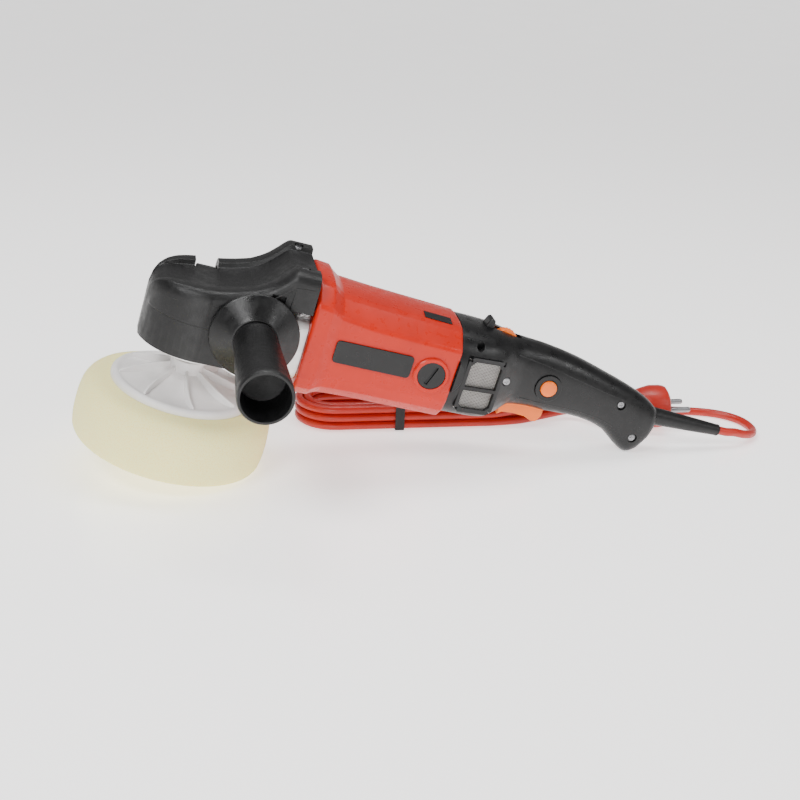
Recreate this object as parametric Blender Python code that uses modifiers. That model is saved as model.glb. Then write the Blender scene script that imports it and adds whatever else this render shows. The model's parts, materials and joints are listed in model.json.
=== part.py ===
"""Rotary polisher: geared head, motor, rear handle, side handle, foam pad and mains lead.

The tool frame has X along the motor axis towards the rear handle, Z along the spindle
away from the pad and Y towards the far side.  Its zero is where the two axes cross.
The tool lies on a floor at z = 0, on the rear of its pad and on the heel of its handle.
"""
import math

import bmesh
import bpy
from mathutils import Matrix, Vector

MM = 0.001
GAP = 0.3

# Pose of the tool on the floor
PITCH = math.radians(13.96)
ROLL = math.radians(3.44)
AXIS_HEIGHT = 135.15
ORIGIN_X = -137.68
ORIGIN_Y = 37.95

# Head
NOSE_RADIUS = 44.0
COVER_REAR = 75.5
COVER_BOTTOM = -33.0
COVER_STEP = -4.0
COVER_WALL = 4.6
NECK_BARE_FROM = 57.0
HOUSING_RADIUS = 38.2
HOUSING_BOTTOM = -31.0
HOUSING_TOP = 9.0
NECK_TOP = 23.0
BOSS_X = 37.0
BOSS_FACE = 46.0
RAIL_SCREW_X = 64.0
RAIL_SCREW_Y = 27.0

# Spindle, pad
SPINDLE_R = 8.0
HUB_TOP = -47.0
PLATE_RIM_Z = -72.3
PLATE_RIM_R = 55.5
WEB_COUNT = 8
WEB_LENGTH = 37.5
WEB_HEIGHT = 9.5
WEB_THICKNESS = 3.0
WEB_MIDDLE_R = 30.25
WEB_SWEEP = 2.5
WEB_Z = -66.0
PAD_R = 75.0
PAD_BOTTOM = -120.3

# Motor
SHELL_FRONT = 77.0
SHELL_REAR = 198.0
SHELL_BORE = 34.0
SHAFT_R = 4.0
FAN_BLADES = 8
FAN_BLADE_R = 19.5
FAN_X = 86.0
BRUSH_X = 178.8
BRUSH_Z = -2.4
BRUSH_FACE = 43.4
CAP_R = 10.95
BADGE_X = 130.8
BADGE_LENGTH = 62.3
BADGE_HEIGHT = 18.4

# Rear handle
HANDLE_FRONT = 198.4
BOOT_Z = -10.5
BOOT_END = 453.0
TRIGGER_PIVOT = (258.0, 0.0, -20.0)
LOCK_X = 284.0
DIAL_CENTRE = (241.0, 0.0, 24.5)
DIAL_R = 11.0
FILTER_CENTRE = (222.5, 33.8, -5.5)
FILTER_SKEW = math.radians(9.7)

# Mains lead, on the floor
LEAD_D = 7.3
HANK_X = (83.0, 322.0)
HANK_Y = (57.0, 123.4)
HANK_Z = (1.5, 23.6)
HANK_CORNER = 14.0
TIE_X = 170.0
TIE_WALL = (1.2, 1.1)
TIE_CLEARANCE = 0.3
PLUG_Y = 50.0
PLUG_R = 19.0
PLUG_FRONT = 408.0
PLUG_LENGTH = 45.0
PIN_SPACING = 19.0


def clear_scene():
    for item in list(bpy.data.objects):
        bpy.data.objects.remove(item, do_unlink=True)


clear_scene()
PARTS = bpy.data.collections.new("rotary_polisher")
CUTTERS = bpy.data.collections.new("cutters")
bpy.context.scene.collection.children.link(PARTS)
bpy.context.scene.collection.children.link(CUTTERS)

TOOL_MATRIX = (
    Matrix.Translation(Vector((ORIGIN_X, ORIGIN_Y, AXIS_HEIGHT)) * MM)
    @ Matrix.Rotation(PITCH, 4, "Y")
    @ Matrix.Rotation(ROLL, 4, "X")
)


def empty(name, parent=None, at=(0.0, 0.0, 0.0)):
    item = bpy.data.objects.new(name, None)
    PARTS.objects.link(item)
    item.parent = parent
    item.location = Vector(at) * MM
    return item


TOOL = empty("tool_frame")
TOOL.location = TOOL_MATRIX.to_translation()
TOOL.rotation_euler = (ROLL, PITCH, 0.0)


def material(name, colour, roughness, metallic=0.0):
    made = bpy.data.materials.get(name)
    if made is None:
        made = bpy.data.materials.new(name)
        made.use_nodes = True
        shader = made.node_tree.nodes["Principled BSDF"]
        shader.inputs["Base Color"].default_value = (*colour, 1.0)
        shader.inputs["Roughness"].default_value = roughness
        shader.inputs["Metallic"].default_value = metallic
    return made


RED = material("red_shell", (0.62, 0.03, 0.015), 0.38)
BLACK = material("black_plastic", (0.018, 0.018, 0.02), 0.5)
RUBBER = material("black_rubber", (0.02, 0.02, 0.022), 0.7)
ORANGE = material("orange_plastic", (0.9, 0.22, 0.02), 0.4)
ALUMINIUM = material("cast_aluminium", (0.72, 0.7, 0.69), 0.4, 1.0)
STEEL = material("steel", (0.55, 0.55, 0.56), 0.3, 1.0)
COPPER = material("copper", (0.72, 0.32, 0.16), 0.35, 1.0)
CARBON = material("carbon", (0.05, 0.05, 0.05), 0.8)
GREY_MESH = material("grey_mesh", (0.3, 0.29, 0.28), 0.5, 0.6)
FOAM = material("yellow_foam", (0.92, 0.85, 0.6), 0.9)
PLATE = material("white_nylon", (0.85, 0.83, 0.82), 0.45)
LEAD = material("red_lead", (0.7, 0.09, 0.03), 0.4)


def add_object(name, mesh, finish, parent, at=(0, 0, 0), turn=(0, 0, 0), group=None):
    item = bpy.data.objects.new(name, mesh)
    (group or PARTS).objects.link(item)
    item.parent = parent
    item.location = Vector(at) * MM
    item.rotation_euler = turn
    if finish is not None:
        mesh.materials.append(finish)
    return item


def mesh_from(name, bm):
    bmesh.ops.recalc_face_normals(bm, faces=bm.faces)
    mesh = bpy.data.meshes.new(name)
    bm.to_mesh(mesh)
    bm.free()
    mesh.shade_smooth()
    mesh.set_sharp_from_angle(angle=math.radians(32))
    return mesh


def box_mesh(name, size):
    bm = bmesh.new()
    bmesh.ops.create_cube(bm, size=1.0)
    bmesh.ops.scale(bm, vec=Vector(size) * MM, verts=bm.verts)
    return mesh_from(name, bm)


def cylinder_mesh(name, radius, length, sides):
    bm = bmesh.new()
    bmesh.ops.create_cone(bm, cap_ends=True, segments=sides, radius1=radius * MM,
                          radius2=radius * MM, depth=length * MM)
    return mesh_from(name, bm)


def span(low, high):
    return tuple((a + b) / 2 for a, b in zip(low, high)), tuple(b - a for a, b in zip(low, high))


def block(name, low, high, finish, parent=TOOL, bevel=0.0, group=None):
    """A box between two corners, with its long edges rounded where bevel is given."""
    centre, size = span(low, high)
    item = add_object(name, box_mesh(name, size), finish, parent, centre, group=group)
    if bevel:
        round_edges(item, bevel)
    return item


def round_edges(item, width, segments=2, angle=40.0):
    made = item.modifiers.new("round", "BEVEL")
    made.width = width * MM
    made.segments = segments
    made.limit_method = "ANGLE"
    made.angle_limit = math.radians(angle)
    return made


AXES = {"X": (0, math.pi / 2, 0), "-Y": (math.pi / 2, 0, 0), "Y": (-math.pi / 2, 0, 0), "Z": (0, 0, 0)}


def turned(name, profile, finish, parent=TOOL, axis="Z", at=(0, 0, 0), sides=32, closed=False, group=None):
    """A turned piece: (radius, height) pairs, top to bottom down the outer side."""
    mesh = bpy.data.meshes.new(name)
    verts = [(radius * MM, 0.0, height * MM) for radius, height in profile]
    edges = [(i, i + 1) for i in range(len(verts) - 1)]
    if closed:
        edges.append((len(verts) - 1, 0))
    mesh.from_pydata(verts, edges, [])
    item = add_object(name, mesh, finish, parent, at, AXES[axis], group)
    screw = item.modifiers.new("turn", "SCREW")
    screw.steps = sides
    screw.render_steps = sides
    screw.use_merge_vertices = True
    screw.merge_threshold = 0.00001
    screw.use_smooth_shade = True
    return item


def ring(name, inner, outer, start, end, finish, parent=TOOL, axis="X", at=(0, 0, 0), sides=28):
    profile = [(outer, end), (outer, start), (inner, start), (inner, end)]
    return turned(name, profile, finish, parent, axis, at, sides, closed=True)


def rod(name, radius, start, end, finish, parent=TOOL, axis="X", at=(0, 0, 0), sides=20, group=None):
    profile = [(0.0, end), (radius, end), (radius, start), (0.0, start)]
    return turned(name, profile, finish, parent, axis, at, sides, group=group)


def drill(name, radius, start, end, axis="X", at=(0, 0, 0), sides=24):
    """A round cutter along an axis of the tool."""
    centre = (start + end) / 2
    shift = {"X": (centre, 0, 0), "Y": (0, centre, 0), "Z": (0, 0, centre)}[axis]
    place = tuple(a + b for a, b in zip(at, shift))
    item = add_object(name, cylinder_mesh(name, radius, end - start, sides), None, TOOL, place,
                      AXES[axis], CUTTERS)
    return hide(item)


def hide(item):
    item.hide_render = True
    item.display_type = "WIRE"
    return item


def cut_box(name, low, high, bevel=0.0):
    return hide(block(name, low, high, None, TOOL, bevel, CUTTERS))


def combine(item, other, operation="DIFFERENCE"):
    made = item.modifiers.new(other.name, "BOOLEAN")
    made.operation = operation
    made.solver = "EXACT"
    made.object = other
    return item


def loft(name, rings, finish, parent=TOOL, group=None):
    """A closed body through rings that have the same number of points."""
    bm = bmesh.new()
    rows = [[bm.verts.new(Vector(point) * MM) for point in ring_points] for ring_points in rings]
    count = len(rows[0])
    for first, second in zip(rows, rows[1:]):
        for i in range(count):
            j = (i + 1) % count
            bm.faces.new((first[i], first[j], second[j], second[i]))
    bm.faces.new(rows[0])
    bm.faces.new(rows[-1][::-1])
    return add_object(name, mesh_from(name, bm), finish, parent, group=group)


def outline_prism(name, outline, thickness, finish, parent=TOOL, at=(0, 0, 0), turn=(0, 0, 0), group=None):
    """A flat outline with a thickness, as a filled 2D curve made a mesh."""
    curve = bpy.data.curves.new(name, "CURVE")
    curve.dimensions = "2D"
    curve.fill_mode = "BOTH"
    curve.extrude = thickness * MM / 2
    spline = curve.splines.new("POLY")
    spline.points.add(len(outline) - 1)
    for point, (u, v) in zip(spline.points, outline):
        point.co = (u * MM, v * MM, 0.0, 1.0)
    spline.use_cyclic_u = True
    flat = bpy.data.objects.new(name + "_outline", curve)
    PARTS.objects.link(flat)
    bpy.context.view_layer.update()
    evaluated = flat.evaluated_get(bpy.context.evaluated_depsgraph_get())
    mesh = bpy.data.meshes.new_from_object(evaluated)
    bpy.data.objects.remove(flat, do_unlink=True)
    bm = bmesh.new()
    bm.from_mesh(mesh)
    bmesh.ops.remove_doubles(bm, verts=bm.verts, dist=0.00001)
    return add_object(name, mesh_from(name, bm), finish, parent, at, turn, group)


SIDE_ON = (math.pi / 2, 0, 0)


def interpolate(table, x):
    """Straight-line reading of rows (x, value, value, ...)."""
    if x <= table[0][0]:
        return table[0][1:]
    for low, high in zip(table, table[1:]):
        if x <= high[0]:
            t = (x - low[0]) / (high[0] - low[0])
            return tuple(a + (b - a) * t for a, b in zip(low[1:], high[1:]))
    return table[-1][1:]


def rounded_section(x, top, bottom, half_width, power, count=24):
    """A superellipse across the tool at x, between its top and bottom heights."""
    middle = (top + bottom) / 2
    half_height = (top - bottom) / 2
    points = []
    for i in range(count):
        angle = 2 * math.pi * (i + 0.5) / count
        c, s = math.cos(angle), math.sin(angle)
        y = half_width * math.copysign(abs(c) ** (2 / power), c)
        z = middle + half_height * math.copysign(abs(s) ** (2 / power), s)
        points.append((x, y, z))
    return points


# ---------------------------------------------------------------- head cover
# x, height of the rail top, depth of the channel between the rails
RAIL_LINE = [
    (-43.4, 6.0, 0.5), (-41.5, 12.0, 0.6), (-38.0, 16.5, 1.0), (-32.0, 20.0, 2.0), (-24.0, 22.0, 3.5),
    (-9.0, 23.5, 4.0), (6.0, 25.0, 4.0), (20.0, 28.0, 4.0), (31.0, 31.5, 4.0), (38.0, 35.5, 4.0),
    (44.0, 40.0, 4.0), (50.0, 46.0, 4.0), (55.5, 52.0, 4.0), (58.5, 54.0, 4.0), (75.5, 54.0, 4.0),
]


def cover_half_width(x, radius):
    front = radius + 0.2
    return math.sqrt(max(front * front - x * x, 6.0)) if x < 0 else radius


def cover_section(x, inset=0.0):
    rail, channel = interpolate(RAIL_LINE, x)
    wide = cover_half_width(x, NOSE_RADIUS) - inset
    low_wide = wide if inset else wide - min(2.0, wide * 0.1)
    top = rail - inset
    shoulder = max(top - 9.0, COVER_STEP + 2.0)
    lean = min(1.0, max(0.0, (x - 20.0) / 36.0))
    rail_out = wide * (0.82 - 0.06 * lean)
    rail_in = wide * (0.6 - 0.04 * lean)
    bottom = COVER_BOTTOM - (2.0 if inset else 0.0)
    side = [
        (low_wide, bottom), (low_wide, COVER_STEP - 1.0), (wide, COVER_STEP), (wide, shoulder),
        (wide * 0.97, (top + shoulder) / 2), (rail_out, top), (rail_in, top),
        (rail_in * 0.94, top - channel),
    ]
    return [(x, y, z) for y, z in side] + [(x, -y, z) for y, z in reversed(side)]


def head_cover():
    stations = [row[0] for row in RAIL_LINE]
    cover = loft("head_cover", [cover_section(x) for x in stations], RUBBER)
    inner_stations = [-38.4, -34.0, -28.0, -18.0, -9.0, 6.0, 20.0, 31.0, 38.0, 44.0, 50.0, 55.5, 58.5,
                      COVER_REAR + 1]
    hollow = loft("cover_hollow", [cover_section(x, COVER_WALL) for x in inner_stations], None,
                  group=CUTTERS)
    combine(cover, hide(hollow))
    combine(cover, cut_box("cover_rear_opening", (NECK_BARE_FROM, -60, -60),
                           (COVER_REAR + 2, 60, NECK_TOP + 1.2)))
    combine(cover, drill("cover_boss_hole", 14.3, -60, 60, "Y", (BOSS_X, 0, 0)))
    combine(cover, cut_box("lock_notch", (-10.3, 23.1, 3.7), (7.3, 60.0, 60.0)))
    for side in (-1, 1):
        label = "left" if side < 0 else "right"
        place = (RAIL_SCREW_X, side * RAIL_SCREW_Y, 0)
        combine(cover, drill("rail_hole_" + label, 3.9, 50.8, 60.0, "Z", place, 16))
        rod("rail_screw_" + label, 3.4, 51.1, 52.9, STEEL, TOOL, "Z", place, 16)


head_cover()


# ---------------------------------------------------------------- gearbox
def gearbox():
    body = rod("gearbox_housing", HOUSING_RADIUS, HOUSING_BOTTOM, HOUSING_TOP, ALUMINIUM, TOOL, "Z",
               sides=40)
    back = cut_box("housing_back", (1.0, -HOUSING_RADIUS, HOUSING_BOTTOM),
                   (52.0, HOUSING_RADIUS, HOUSING_TOP))
    combine(body, back, "UNION")
    neck_rings = [rounded_section(x, top, bottom, wide, 4.0, 28)
                  for x, top, bottom, wide in ((50.0, 10.5, -31.5, 38.0), (58.5, 22.0, -34.0, 39.0),
                                               (76.7, 22.5, -37.0, 39.5))]
    neck = loft("housing_neck", neck_rings, None, group=CUTTERS)
    combine(body, hide(neck), "UNION")
    bosses = drill("housing_bosses", 13.0, -BOSS_FACE, BOSS_FACE, "Y", (BOSS_X, 0, 0), 28)
    combine(body, bosses, "UNION")
    combine(body, drill("gear_chamber", 30.5, HOUSING_BOTTOM - 1, 4.5, "Z", (0, 0, 0), 36))
    combine(body, drill("pinion_chamber", 15.0, 20.0, 52.0, "X", (0, 0, 0), 24))
    combine(body, drill("front_bearing_seat", 11.3, 50.0, 80.0, "X", (0, 0, 0), 24))
    combine(body, drill("left_thread", 4.4, -60.0, -31.0, "Y", (BOSS_X, 0, 0), 16))
    combine(body, drill("right_thread", 4.4, 31.0, 60.0, "Y", (BOSS_X, 0, 0), 16))
    combine(body, cut_box("lock_well", (-9.4, 23.4, 5.2), (6.4, 33.7, 20.0)))

    ring("bearing_plate", 12.0, 35.5, -36.8, -31.3, ALUMINIUM, TOOL, "Z", sides=36)


gearbox()


# ---------------------------------------------------------------- spindle, gears and pad
SPINDLE_AXIS = empty("spindle_axis", TOOL)
ARMATURE_AXIS = empty("armature_axis", TOOL)


def toothed_outline(teeth, root, tip):
    points = []
    for i in range(teeth):
        for share, radius in ((0.05, root), (0.3, root), (0.5, tip), (0.8, tip)):
            angle = 2 * math.pi * (i + share) / teeth
            points.append((radius * math.cos(angle), radius * math.sin(angle)))
    return points


def spindle_group():
    profile = [(0, 3.8), (6.0, 3.8), (6.0, -9.0), (SPINDLE_R, -9.0), (SPINDLE_R, -32.0), (10.5, -37.5),
               (10.5, HUB_TOP + GAP), (6.8, HUB_TOP + GAP), (6.8, -64.0), (0, -64.0)]
    turned("spindle", profile, STEEL, SPINDLE_AXIS, sides=28)
    ring("spindle_bearing_lower", 8.3, 17.0, -31.0, -22.0, STEEL, TOOL, "Z")

    crown = outline_prism("crown_gear", toothed_outline(30, 26.0, 28.5), 8.0, STEEL, SPINDLE_AXIS,
                          (0, 0, -15.5))
    combine(crown, drill("crown_bore", 8.3, -21.0, -10.0, "Z", (0, 0, 0), 28))

    plate_profile = [(7.1, HUB_TOP), (12.5, HUB_TOP), (13.0, -48.0), (13.0, -57.0), (17.0, -60.5),
                     (30.0, -65.0),
                     (47.0, -68.0), (50.5, -67.2), (54.0, -68.2), (PLATE_RIM_R, -70.0),
                     (PLATE_RIM_R, PLATE_RIM_Z),
                     (7.1, PLATE_RIM_Z)]
    plate = turned("backing_plate", plate_profile, PLATE, SPINDLE_AXIS, sides=40, closed=True)
    for i in range(WEB_COUNT):
        web = block("plate_web_%d" % (i + 1), (0, 0, 0), (WEB_THICKNESS, WEB_LENGTH, WEB_HEIGHT), None,
                    SPINDLE_AXIS, 0, CUTTERS)
        turn = 2 * math.pi * i / WEB_COUNT
        x = WEB_SWEEP * math.cos(turn) - WEB_MIDDLE_R * math.sin(turn)
        y = WEB_SWEEP * math.sin(turn) + WEB_MIDDLE_R * math.cos(turn)
        web.location = Vector((x, y, WEB_Z)) * MM
        web.rotation_euler = (0, 0, turn)
        combine(plate, hide(web), "UNION")

    pad_profile = [(0, PLATE_RIM_Z - GAP), (58.0, PLATE_RIM_Z - GAP), (66.0, -74.5), (71.5, -78.5),
                   (75.0, -86.0),
                   (76.5, -98.0), (76.5, -110.0), (PAD_R, PAD_BOTTOM), (0, PAD_BOTTOM)]
    turned("foam_pad", pad_profile, FOAM, SPINDLE_AXIS, sides=56)


def armature_group():
    rod("armature_shaft", SHAFT_R, 16.0, 204.0, STEEL, ARMATURE_AXIS, sides=20)
    pinion = outline_prism("motor_pinion", toothed_outline(10, 8.6, 10.6), 15.0, STEEL, ARMATURE_AXIS,
                           (28.0, 0, 0), AXES["X"])
    combine(pinion, drill("pinion_bore", SHAFT_R + GAP, 15.0, 40.0, "X", (0, 0, 0), 20))
    ring("armature_core", SHAFT_R + GAP, 22.6, 98.0, 152.0, STEEL, ARMATURE_AXIS, sides=32)
    ring("commutator", SHAFT_R + GAP, 12.0, 167.0, 189.0, COPPER, ARMATURE_AXIS, sides=24)
    fan = ring("cooling_fan", SHAFT_R + GAP, 31.0, 80.0, 82.5, BLACK, ARMATURE_AXIS, sides=32)
    for i in range(FAN_BLADES):
        blade = block("fan_blade_%d" % (i + 1), (-4.5, -0.9, -9.0), (4.5, 0.9, 9.0), None, ARMATURE_AXIS,
                      0, CUTTERS)
        turn = 2 * math.pi * i / FAN_BLADES
        blade.location = Vector((FAN_X, -FAN_BLADE_R * math.sin(turn), FAN_BLADE_R * math.cos(turn))) * MM
        blade.rotation_euler = (turn, 0, 0)
        combine(fan, hide(blade), "UNION")


def brush_block(name, side, half, inner, outer, finish, group=None):
    """A square bar across the motor at a brush, between two distances from the shaft."""
    near, far = sorted((side * inner, side * outer))
    low = (BRUSH_X - half, near, BRUSH_Z - half)
    return block(name, low, (BRUSH_X + half, far, BRUSH_Z + half), finish, group=group)


def motor_inside():
    ring("motor_bearing_front", SHAFT_R + GAP, 11.0, 60.0, 68.0, STEEL)
    ring("stator_core", 23.4, SHELL_BORE - GAP, 98.0, 152.0, STEEL, sides=36)
    ring("stator_winding_front", 24.5, 32.5, 91.0, 97.7, COPPER)
    ring("stator_winding_rear", 24.5, 32.5, 152.3, 159.0, COPPER)
    bracket = ring("rear_bearing_bracket", 10.4, SHELL_BORE - 2.8, 195.0, 203.0, BLACK, sides=32)
    combine(bracket, cut_box("bracket_relief", (200.0, -8, 12), (205.0, 8, 24)))
    ring("motor_bearing_rear", SHAFT_R + GAP, 10.0, 195.5, 202.5, STEEL)
    for side, label in ((-1, "left"), (1, "right")):
        holder = brush_block("brush_holder_" + label, side, 5.0, 15.0, 31.0, BLACK)
        slot = brush_block("holder_slot_" + label, side, 3.6, 13.0, 36.0, None, CUTTERS)
        combine(holder, hide(slot))
        brush_block("carbon_brush_" + label, side, 3.2, 12.5, 29.0, CARBON)
        axis = "-Y" if side < 0 else "Y"
        cap = rod("brush_cap_" + label, CAP_R, 33.0, BRUSH_FACE - 0.6, BLACK, TOOL, axis,
                  (BRUSH_X, 0, BRUSH_Z), 28)
        slot = cut_box("cap_slot_" + label, (-1.4, -3, -8.0), (1.4, 3, 8.0))
        slot.location = Vector((BRUSH_X, side * (BRUSH_FACE + 0.6), BRUSH_Z)) * MM
        slot.rotation_euler = (0, math.radians(20), 0)
        combine(cap, slot)


spindle_group()
armature_group()
motor_inside()


# ---------------------------------------------------------------- red motor shell
def shell_section(x, wide, top, bottom, crease):
    side = [
        (wide * 0.4, bottom), (wide * 0.72, bottom + 2.5), (wide * 0.93, bottom + 11.0),
        (wide, bottom + 20.0),
        (wide, crease - 3.0), (wide * 0.965, crease), (wide * 0.64, top - 2.2), (wide * 0.5, top),
        (wide * 0.25, top + 1.2),
    ]
    return [(x, y, z) for y, z in side] + [(x, -y, z) for y, z in reversed(side)]


SHELL_ROWS = [
    (SHELL_FRONT, 43.5, 46.0, -44.5, 33.0), (79.0, 45.0, 47.5, -46.0, 34.5),
    (90.0, 45.0, 46.5, -46.0, 33.5),
    (94.5, 43.0, 42.5, -44.0, 31.0), (99.0, 41.7, 39.6, -42.9, 28.5), (125.0, 41.5, 37.6, -42.0, 25.0),
    (165.0, 41.3, 35.6, -42.0, 23.5), (SHELL_REAR - 1.5, 40.8, 34.2, -42.0, 22.5),
    (SHELL_REAR, 40.0, 33.4, -41.2, 22.0),
]


LABEL_X = 177.5
LABEL_LENGTH = 23.0
LABEL_WIDTH = 10.4
LABEL_THICK = 0.6
LABEL_CLEARANCE = 0.1


def motor_shell():
    shell = loft("motor_housing", [shell_section(*row) for row in SHELL_ROWS], RED)
    for side, label in ((-1, "left"), (1, "right")):
        boss = drill("brush_boss_" + label, 14.4, 30.0, BRUSH_FACE, "Y", (BRUSH_X, 0, BRUSH_Z), 32)
        if side < 0:
            boss.location.y = -boss.location.y
        combine(shell, boss, "UNION")
    combine(shell, drill("shell_bore", SHELL_BORE, SHELL_FRONT - 2, SHELL_REAR + 2, "X", (0, 0, 0), 36))
    combine(shell, drill("brush_bores", CAP_R + GAP, -60.0, 60.0, "Y", (BRUSH_X, 0, BRUSH_Z), 28))


def badges():
    corner = 3.0
    outline = []
    for sx, sz, start in ((1, 1, 0), (-1, 1, 90), (-1, -1, 180), (1, -1, 270)):
        for k in range(4):
            angle = math.radians(start + 30 * k)
            outline.append((sx * (BADGE_LENGTH / 2 - corner) + corner * math.cos(angle),
                            sz * (BADGE_HEIGHT / 2 - corner) + corner * math.sin(angle)))
    for side, label in ((-1, "left"), (1, "right")):
        outline_prism("side_badge_" + label, outline, 1.0, BLACK, TOOL, (BADGE_X, side * 42.35, 0.4),
                      SIDE_ON)


def rating_label():
    """A blank plate lying on the near facet of the shell's roof."""
    front, rear = SHELL_ROWS[6], SHELL_ROWS[7]
    share = (LABEL_X - front[0]) / (rear[0] - front[0])
    row = [start + share * (end - start) for start, end in zip(front, rear)]
    outer, inner = shell_section(*row)[7:9]
    lean = math.atan2(inner[2] - outer[2], outer[1] - inner[1])
    fall = math.atan2(front[2] - rear[2], rear[0] - front[0])
    low = (-LABEL_LENGTH / 2, -LABEL_WIDTH / 2, -LABEL_THICK / 2)
    high = (LABEL_LENGTH / 2, LABEL_WIDTH / 2, LABEL_THICK / 2)
    plate = block("rating_label", low, high, BLACK)
    height = (inner[2] + outer[2]) / 2 + LABEL_THICK / 2 + LABEL_CLEARANCE
    plate.location = Vector((LABEL_X, -(inner[1] + outer[1]) / 2, height)) * MM
    plate.rotation_euler = (lean, fall, 0)


motor_shell()
badges()
rating_label()


# ---------------------------------------------------------------- rear handle
# x, top, bottom, half width
HANDLE_ROWS = [
    (HANDLE_FRONT, 35.0, -40.5, 39.0), (212.0, 35.0, -40.5, 38.0), (228.0, 34.5, -40.5, 35.5),
    (240.0, 33.0, -39.0, 31.0),
    (249.0, 31.5, -34.0, 25.0), (258.0, 31.0, -26.5, 20.5), (275.0, 30.0, -24.5, 19.0),
    (291.0, 28.0, -25.0, 18.5),
    (305.0, 25.5, -24.5, 18.0), (320.0, 22.0, -24.5, 17.5), (335.0, 18.0, -26.5, 17.0),
    (348.0, 14.5, -30.5, 16.5),
    (358.0, 11.5, -37.0, 16.0), (367.0, 8.5, -43.0, 15.5), (375.0, 5.5, -46.0, 15.0),
    (382.0, 2.0, -42.0, 14.0),
    (387.5, -1.5, -32.0, 12.5), (390.5, -4.5, -25.0, 9.0),
]


def handle_rings(inset, rows):
    rings = []
    for x, top, bottom, wide in rows:
        power = 2.7 if x < 245 else 2.4
        rings.append(rounded_section(x, top - inset, bottom + inset, wide - inset, power))
    return rings


def shared_cutters():
    """Cutters that reach across the seam, for both halves of the handle."""
    rows = [(HANDLE_FRONT - 2,) + HANDLE_ROWS[0][1:]] + HANDLE_ROWS[1:-3]
    return [
        hide(loft("handle_hollow", handle_rings(3.2, rows), None, group=CUTTERS)),
        cut_box("trigger_slot", (252.0, -7.2, -60.0), (294.5, 7.2, -14.0)),
        cut_box("dial_slot", (228.8, -3.7, 16.0), (254.0, 3.7, 60.0)),
        cut_box("guard_slot", (220.5, -6.4, 29.5), (228.6, 6.4, 60.0)),
        drill("boot_hole", 7.9, 370.0, 400.0, "X", (0, 0, BOOT_Z), 20),
    ]


def side_cutters(side, label):
    """Cutters for one half: its filter, its screws and, on the near side, the lock-on button."""
    def hole(name, radius, depth, at):
        start, end = (-60.0, -depth) if side < 0 else (depth, 60.0)
        return drill(name + label, radius, start, end, "Y", at, 14)

    cutters = [hole("filter_screw_hole_", 3.7, 25.9, (244.5, 0, 1.0))]
    if side < 0:
        cutters += [
            hole("lock_on_hole_", 11.5, 8.0, (LOCK_X, 0, 0)),
            hole("handle_screw_hole_1_", 4.2, 14.0, (352.0, 0, -2.0)),
            hole("handle_screw_hole_2_", 4.2, 12.6, (373.0, 0, -29.0)),
        ]
    x, y, z = FILTER_CENTRE
    opening = cut_box("filter_opening_" + label, (-17.3, -7.0, -23.8), (17.3, 7.0, 23.8))
    outward = Vector((math.sin(FILTER_SKEW), side * math.cos(FILTER_SKEW), 0))
    opening.location = (Vector((x, side * y, z)) + outward * 4.6) * MM
    opening.rotation_euler = (0, 0, -side * FILTER_SKEW)
    cutters.append(opening)
    return cutters


def handle_shells():
    shared = shared_cutters()
    for side, label in ((-1, "left"), (1, "right")):
        shell = loft("handle_shell_" + label, handle_rings(0.0, HANDLE_ROWS), BLACK)
        low_y, high_y = (-0.15, 80.0) if side < 0 else (-80.0, 0.15)
        combine(shell, cut_box("half_cut_" + label, (190.0, low_y, -80.0), (400.0, high_y, 80.0)))
        for cutter in shared + side_cutters(side, label):
            combine(shell, cutter)


def filters():
    for side, label in ((-1, "left"), (1, "right")):
        holder = empty("filter_place_" + label, TOOL, (FILTER_CENTRE[0], side * FILTER_CENTRE[1],
                                                       FILTER_CENTRE[2]))
        holder.rotation_euler = (0, 0, -side * FILTER_SKEW)
        frame = block("filter_frame_" + label, (-17, -1.5, -23.5), (17, 1.5, 23.5), BLACK, holder)
        for name, low, high in (("upper", -1.5, 19.5), ("lower", -19.5, -4.5)):
            window = block("filter_window_%s_%s" % (name, label), (-13.5, -4, low), (13.5, 4, high), None,
                           holder, 0, CUTTERS)
            combine(frame, hide(window))
        low, high = (1.8, 2.4) if side < 0 else (-2.4, -1.8)
        block("filter_mesh_" + label, (-15.5, low, -21.5), (15.5, high, 21.5), GREY_MESH, holder)
        axis = "-Y" if side < 0 else "Y"
        rod("filter_screw_" + label, 3.2, 26.2, 28.4, STEEL, TOOL, axis, (244.5, 0, 1.0), 14)


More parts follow.
